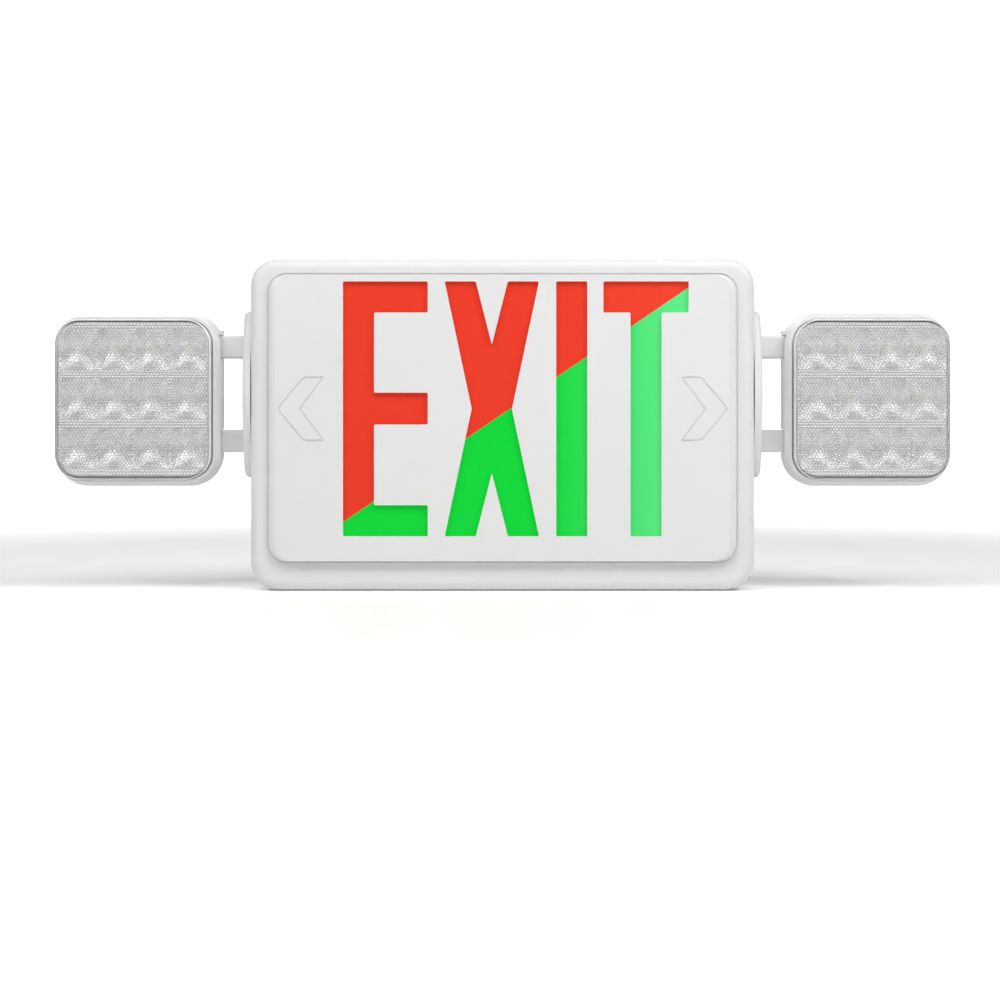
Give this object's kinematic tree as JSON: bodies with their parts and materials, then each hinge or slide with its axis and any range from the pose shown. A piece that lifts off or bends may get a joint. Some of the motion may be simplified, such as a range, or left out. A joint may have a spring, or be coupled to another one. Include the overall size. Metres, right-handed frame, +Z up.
{
  "type": "emergency exit light",
  "caption": "Wall-mounted exit sign with a raised stencil face and a square, hinged lamp head on a yoke at each side.",
  "frame": {"origin": "centre of the wire-entry hole, in the back plate's wall face", "axes": "+Z up, +Y into the wall, +X to the viewer's right; the face looks along -Y"},
  "size_m": [0.544, 0.054, 0.1994],
  "materials": {
    "white_body": "fine satin thermoplastic",
    "white_face": "smooth satin thermoplastic",
    "white_head": "fine satin thermoplastic",
    "red_filter": "translucent coloured sheet",
    "green_filter": "translucent coloured sheet",
    "opal_sheet": "diffusing sheet",
    "circuit_board": "solder-masked glass-fibre board",
    "lamp_board": "white solder-masked board",
    "led_package": "moulded lamp package",
    "zinc_screw": "zinc-plated",
    "steel_clip": "bare bright steel",
    "laminated_core": "varnished laminations",
    "coil_wrap": "tape-wrapped winding",
    "black_plastic": "moulded",
    "green_terminal": "moulded",
    "battery_sleeve": "shrink sleeve over metal cells",
    "button_plastic": "moulded",
    "pilot_lens": "tinted lamp",
    "metallised_reflector": "bright metallised moulding",
    "clear_lens": "clear prismatic cover"
  },
  "bodies": {
    "housing": {"front_housing": "white_body", "stencil_face": "white_face", "red_filter": "red_filter", "green_filter": "green_filter", "light_diffuser": "opal_sheet", "light_box": "white_body", "light_box_screws": "zinc_screw", "upper_led_strip": "lamp_board", "lower_led_strip": "lamp_board", "sign_leds": "led_package", "back_plate": "white_body", "back_plate_screws": "zinc_screw", "main_circuit_board": "circuit_board", "main_board_screws": "zinc_screw", "transformer_core": "laminated_core", "transformer_winding": "coil_wrap", "capacitors": "black_plastic", "relay": "black_plastic", "terminal_block": "green_terminal", "colour_selector": "black_plastic", "battery_pack": "battery_sleeve", "battery_clip": "steel_clip", "indicator_board": "circuit_board", "test_switch": "black_plastic", "pilot_light": "pilot_lens"},
    "selector_slider": {"selector_slider": "white_body"},
    "test_button": {"test_button": "button_plastic"},
    "left_yoke": {"left_yoke": "white_head", "left_friction_washer": "steel_clip", "left_retaining_nut": "black_plastic"},
    "left_head": {"left_hinge_pins": "steel_clip", "left_head_shell": "white_head", "left_head_board": "lamp_board", "left_head_board_screws": "zinc_screw", "left_head_leds": "led_package", "left_reflector": "metallised_reflector", "left_lens": "clear_lens"},
    "right_yoke": {"right_yoke": "white_head", "right_friction_washer": "steel_clip", "right_retaining_nut": "black_plastic"},
    "right_head": {"right_hinge_pins": "steel_clip", "right_head_shell": "white_head", "right_head_board": "lamp_board", "right_head_board_screws": "zinc_screw", "right_head_leds": "led_package", "right_reflector": "metallised_reflector", "right_lens": "clear_lens"}
  },
  "joints": [
    {"name": "left_head_tilt", "type": "hinge", "parent": "housing", "child": "left_yoke", "pos_m": [-0.1515, -0.028, 0.0186], "axis": [1, 0, 0], "range_deg": [-20, 20]},
    {"name": "left_head_swivel", "type": "hinge", "parent": "left_yoke", "child": "left_head", "pos_m": [-0.174, -0.028, 0.0186], "axis": [0, 0, 1], "range_deg": [-10, 20]},
    {"name": "right_head_tilt", "type": "hinge", "parent": "housing", "child": "right_yoke", "pos_m": [0.1515, -0.028, 0.0186], "axis": [1, 0, 0], "range_deg": [-20, 20]},
    {"name": "right_head_swivel", "type": "hinge", "parent": "right_yoke", "child": "right_head", "pos_m": [0.174, -0.028, 0.0186], "axis": [0, 0, 1], "range_deg": [-20, 10]},
    {"name": "test_button_press", "type": "slide", "parent": "housing", "child": "test_button", "axis": [0, 0, 1], "range_m": [0, 0.002], "stiffness_N_per_m": 300, "springref_m": -0.001},
    {"name": "selector_slide", "type": "slide", "parent": "housing", "child": "selector_slider", "axis": [1, 0, 0], "range_m": [0, 0.004]}
  ]
}
